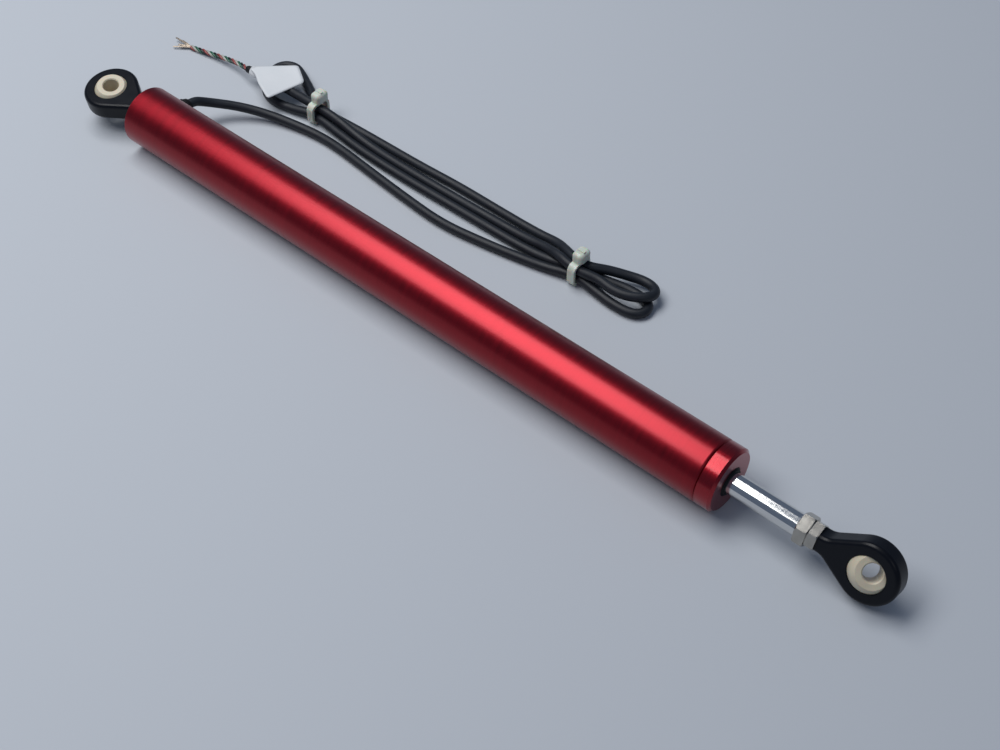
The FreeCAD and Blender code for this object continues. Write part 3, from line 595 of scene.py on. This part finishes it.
tube_skin.data.set_sharp_from_angle(angle=math.radians(5))
settle(tube_skin, anodised, "housing")
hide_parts("body_tube")


# The front cap is the same metal, turned finer. It screws into the tube, leaves a hairline seam, and
# carries the rod's bearing and a black wiper.
bright = Finish("bright_red_anodised", (0.30, 0.004, 0.012), 0.2, 0.95, Coat_Weight=0.6,
                Coat_Roughness=0.15)
cap_lines = bright.rings(3600, 3)
bright.relief(cap_lines, 0.000006)
bright.set("Roughness", cap_lines * 0.10 + 0.24)
dress("front_cap", bright)
dress("rod_wiper", rubber)
acetal = Finish("bearing_plastic", (0.05, 0.05, 0.055), 0.4)
acetal.relief(acetal.rings(4000, 2), 0.00001)
acetal.set("Roughness", acetal.noise(900, 2) * 0.2 + 0.3)
for node in ("rod_bearing", "rod_guide"):
    dress(node, acetal)


# The rod is ground stainless steel, polished, and slides out of the cap.
polished = Finish("polished_steel", (0.70, 0.70, 0.69), 0.12, 1.0)
hone = polished.rings(9000, 3)
polished.relief(hone, 0.000003)
polished.set("Roughness", hone * 0.06 + 0.08)
dress("rod", polished)


# The jam nut and the hexagonal collars of the eyes' studs are plated steel with dulled faces.
plated = Finish("plated_steel", (0.42, 0.40, 0.36), 0.26, 1.0)
wear = plated.noise(420, 3)
plated.relief(plated.noise(1600, 2), 0.0000015)
plated.set("Roughness", wear * 0.14 + 0.12)
plated.set("Base Color", wear.between((0.36, 0.34, 0.30, 1), (0.48, 0.46, 0.42, 1)))
for node in ("jam_nut", "front_eye_stud", "rear_eye_stud", "guide_clips", "board_capacitors"):
    dress(node, plated)


# The eyes are moulded in black glass-filled nylon with a satin skin.
moulded = Finish("black_plastic", (0.003, 0.004, 0.007), 0.3, Specular_IOR_Level=0.2)
skin = moulded.noise(1600, 4)
moulded.relief(skin, 0.000015)
moulded.set("Roughness", moulded.noise(300, 3) * 0.14 + 0.24)
for node in ("front_eye", "rear_eye"):
    dress(node, moulded)


# The balls are a cream, self-lubricating plastic, bored for a 5 mm pin.
cream = Finish("cream_plastic", (0.62, 0.55, 0.41), 0.4, Subsurface_Weight=0.15,
               Subsurface_Scale=0.001)
tone = cream.noise(350, 3)
cream.relief(cream.noise(2600, 3), 0.00002)
cream.set("Base Color", tone.between((0.55, 0.48, 0.34, 1), (0.68, 0.61, 0.47, 1)))
cream.set("Roughness", tone * 0.2 + 0.3)
for node in ("front_ball", "rear_ball", "probe_tip", "lead_terminal"):
    dress(node, cream)


# Inside the closed tube: the plug and the coil's mount are cast in dark resin, the board is green
# with black chips, and the probe is a steel core wound with enamelled copper wire.
resin = Finish("potting_resin", (0.03, 0.03, 0.034), 0.5)
resin.relief(resin.noise(800, 3), 0.00006)
for node in ("rear_plug", "coil_mount", "inner_lead"):
    dress(node, resin)
board = Finish("board_green", (0.015, 0.14, 0.05), 0.4, Coat_Weight=0.2)
board.set("Base Color", board.noise(900, 2).between((0.010, 0.11, 0.04, 1), (0.02, 0.17, 0.07, 1)))
dress("circuit_board", board)
chip = Finish("chip_black", (0.02, 0.02, 0.02), 0.55)
chip.relief(chip.noise(4000, 2), 0.00002)
dress("signal_chips", chip)
copper = Finish("enamelled_wire", (0.55, 0.20, 0.08), 0.3, 1.0)
copper.relief(copper.rings(6000, 0), 0.00008)
dress("sensing_coil", copper)
core = Finish("probe_core", (0.45, 0.45, 0.45), 0.35, 1.0)
core.relief(core.rings(5000, 2), 0.00001)
dress("probe_former", core)


# The floor is plain and pale, and the light is soft: one broad lamp overhead, a dim one by the
# camera, and a faint blue background that fills the shadows.
floor_mesh = bpy.data.meshes.new("floor")
floor_half = 3.0
floor_mesh.from_pydata([(-floor_half, -floor_half, 0), (floor_half, -floor_half, 0),
                        (floor_half, floor_half, 0), (-floor_half, floor_half, 0)], [],
                       [(0, 1, 2, 3)])
floor = shown("floor", floor_mesh)
pale = Finish("pale_floor", (0.50, 0.53, 0.57), 0.7)
floor_mesh.materials.append(pale.material)


def soft_lamp(name, place, aim, width, height, power):
    """A rectangular lamp that faces a place."""
    data = bpy.data.lights.new(name, "AREA")
    data.shape = "RECTANGLE"
    data.size = width
    data.size_y = height
    data.energy = power
    lamp = shown(name, data)
    lamp.location = place
    lamp.rotation_mode = "QUATERNION"
    lamp.rotation_quaternion = (Vector(aim) - Vector(place)).to_track_quat("-Z", "Y")


soft_lamp("overhead", place=(-0.42, -0.15, 0.9), aim=(-0.42, -0.15, 0), width=0.55, height=1.0,
          power=9.5)
soft_lamp("camera_side", place=(0.9, -0.5, 0.9), aim=(0, 0, 0), width=0.3, height=0.3, power=0.6)
world = bpy.data.worlds.new("studio")
bpy.context.scene.world = world
world.use_nodes = True
world.node_tree.nodes["Background"].inputs["Color"].default_value = (0.55, 0.70, 1.0, 1)
world.node_tree.nodes["Background"].inputs["Strength"].default_value = 0.2
bpy.context.scene.view_settings.view_transform = "Standard"
